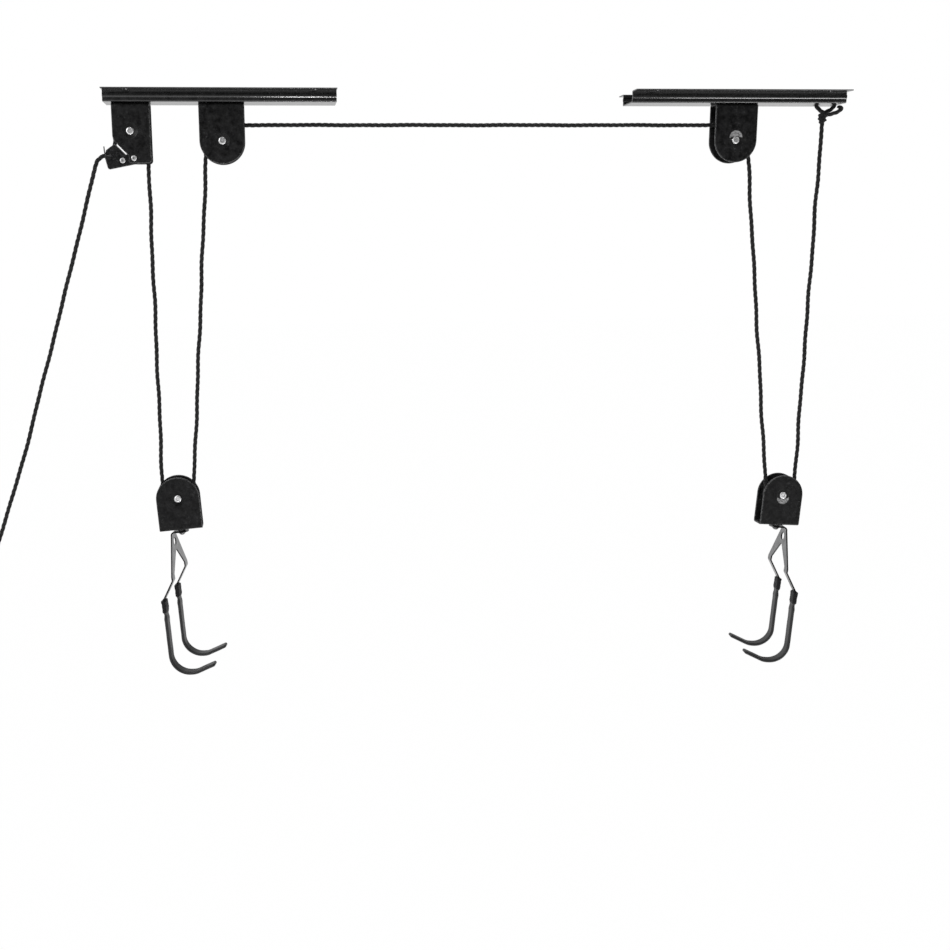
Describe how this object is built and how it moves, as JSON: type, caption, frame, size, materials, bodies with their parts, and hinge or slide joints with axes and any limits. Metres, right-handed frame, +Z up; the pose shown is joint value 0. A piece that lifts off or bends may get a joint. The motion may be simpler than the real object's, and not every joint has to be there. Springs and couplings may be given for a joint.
{
  "type": "bicycle ceiling hoist",
  "caption": "Ceiling hoist with two bracket rails, a rope lock, pulleys and one rope that raises a pair of double hooks for a bicycle",
  "frame": {"origin": "the middle of the left bracket's ceiling face, at the centre of its four screw holes", "axes": "+Z up into the ceiling, +X along the bicycle from the lock to the rope's anchor, +Y from the front to the back"},
  "size_m": [1.0053, 0.0765, 0.6799],
  "materials": {
    "black_painted_steel": "semi-gloss black paint on stamped sheet",
    "zinc_steel": "bright zinc plate",
    "black_nylon": "moulded nylon",
    "black_vinyl": "soft satin vinyl sleeve",
    "black_rope": "laid polypropylene rope"
  },
  "bodies": {
    "ceiling_frame": {"cam_pivot_rivet": "zinc_steel", "cam_spring": "zinc_steel", "cleat_plate_back": "black_painted_steel", "cleat_plate_front": "black_painted_steel", "cleat_rivet": "zinc_steel", "hand_line": "black_rope", "hand_line_knot": "black_rope", "left_bracket": "black_painted_steel", "left_housing_rivets": "black_painted_steel", "left_pulley_axle": "zinc_steel", "left_pulley_housing": "black_painted_steel", "lock_axle": "zinc_steel", "lock_housing": "black_painted_steel", "lock_housing_rivets": "black_painted_steel", "right_bracket": "black_painted_steel", "right_housing_rivets": "black_painted_steel", "right_pulley_axle": "zinc_steel", "right_pulley_housing": "black_painted_steel", "rope_anchor_knot": "black_rope", "rope_anchor_loop": "black_rope", "rope_anchor_run": "black_rope", "rope_crossing": "black_rope", "rope_left_fall": "black_rope", "rope_left_pulley_wrap": "black_rope", "rope_lock_rise": "black_rope", "rope_right_pulley_wrap": "black_rope", "rope_right_rise": "black_rope", "rope_through_lock": "black_rope", "wire_guide": "black_painted_steel"},
    "left_pulley": {"left_pulley_sheave": "black_nylon"},
    "right_pulley": {"right_pulley_sheave": "black_nylon"},
    "lock_pulley": {"lock_sheave": "black_nylon"},
    "cam": {"lock_cam": "zinc_steel"},
    "left_axle": {"left_block_axle": "zinc_steel", "rope_left_block_wrap": "black_rope"},
    "left_block": {"left_block_housing": "black_painted_steel", "left_swivel_rivet": "zinc_steel"},
    "left_block_pulley": {"left_block_sheave": "black_nylon"},
    "left_hook": {"left_hook_fork": "zinc_steel", "left_hook_sleeve_front": "black_vinyl", "left_hook_sleeve_back": "black_vinyl"},
    "right_axle": {"right_block_axle": "zinc_steel", "rope_right_block_wrap": "black_rope"},
    "right_block": {"right_block_housing": "black_painted_steel", "right_swivel_rivet": "zinc_steel"},
    "right_block_pulley": {"right_block_sheave": "black_nylon"},
    "right_hook": {"right_hook_fork": "zinc_steel", "right_hook_sleeve_front": "black_vinyl", "right_hook_sleeve_back": "black_vinyl"}
  },
  "joints": [
    {"name": "left_block_lift", "type": "slide", "parent": "ceiling_frame", "child": "left_axle", "axis": [0, 0, 1], "range_m": [0, 0.26], "deforming": ["rope_lock_rise", "rope_left_fall"]},
    {"name": "right_block_lift", "type": "slide", "parent": "ceiling_frame", "child": "right_axle", "axis": [0, 0, 1], "range_m": [0, 0.26], "deforming": ["rope_right_rise", "rope_anchor_run"]},
    {"name": "right_block_sheave_turn", "type": "hinge", "parent": "right_axle", "child": "right_block_pulley", "pos_m": [0.6662, 0, -0.4742], "axis": [0, 1, 0], "continuous": true},
    {"name": "right_pulley_turn", "type": "hinge", "parent": "ceiling_frame", "child": "right_pulley", "pos_m": [0.5845, 0, -0.0532], "axis": [0, 1, 0], "continuous": true},
    {"name": "left_pulley_turn", "type": "hinge", "parent": "ceiling_frame", "child": "left_pulley", "pos_m": [0, 0, -0.0532], "axis": [0, 1, 0], "continuous": true},
    {"name": "left_block_sheave_turn", "type": "hinge", "parent": "left_axle", "child": "left_block_pulley", "pos_m": [-0.0648, 0, -0.4544], "axis": [0, 1, 0], "continuous": true},
    {"name": "lock_sheave_turn", "type": "hinge", "parent": "ceiling_frame", "child": "lock_pulley", "pos_m": [-0.0992, 0, -0.0427], "axis": [0, 1, 0], "continuous": true},
    {"name": "left_block_swing", "type": "hinge", "parent": "left_axle", "child": "left_block", "pos_m": [-0.0648, 0, -0.4544], "axis": [0, 1, 0], "range_deg": [-30, 30]},
    {"name": "left_hook_swivel", "type": "hinge", "parent": "left_block", "child": "left_hook", "pos_m": [-0.06221, 0, -0.49181], "axis": [-0.0691, 0, 0.9976], "continuous": true},
    {"name": "right_block_swing", "type": "hinge", "parent": "right_axle", "child": "right_block", "pos_m": [0.6662, 0, -0.4742], "axis": [0, 1, 0], "range_deg": [-30, 30]},
    {"name": "right_hook_swivel", "type": "hinge", "parent": "right_block", "child": "right_hook", "pos_m": [0.66361, 0, -0.51161], "axis": [0.0691, 0, 0.9976], "continuous": true},
    {"name": "cam_release", "type": "hinge", "parent": "ceiling_frame", "child": "cam", "pos_m": [-0.1085, 0, -0.074], "axis": [0, -1, 0], "range_deg": [0, 30], "stiffness_Nm_per_rad": 0.02, "springref_deg": -34.38}
  ],
  "couplings": [
    {"joint": "right_block_lift", "follows": "left_block_lift", "ratio": 1},
    {"joint": "right_block_sheave_turn", "follows": "left_block_lift", "rad_per_m": 57.471},
    {"joint": "right_pulley_turn", "follows": "left_block_lift", "rad_per_m": -114.94},
    {"joint": "left_pulley_turn", "follows": "left_block_lift", "rad_per_m": -114.94},
    {"joint": "left_block_sheave_turn", "follows": "left_block_lift", "rad_per_m": 172.41},
    {"joint": "lock_sheave_turn", "follows": "left_block_lift", "rad_per_m": -229.89}
  ]
}
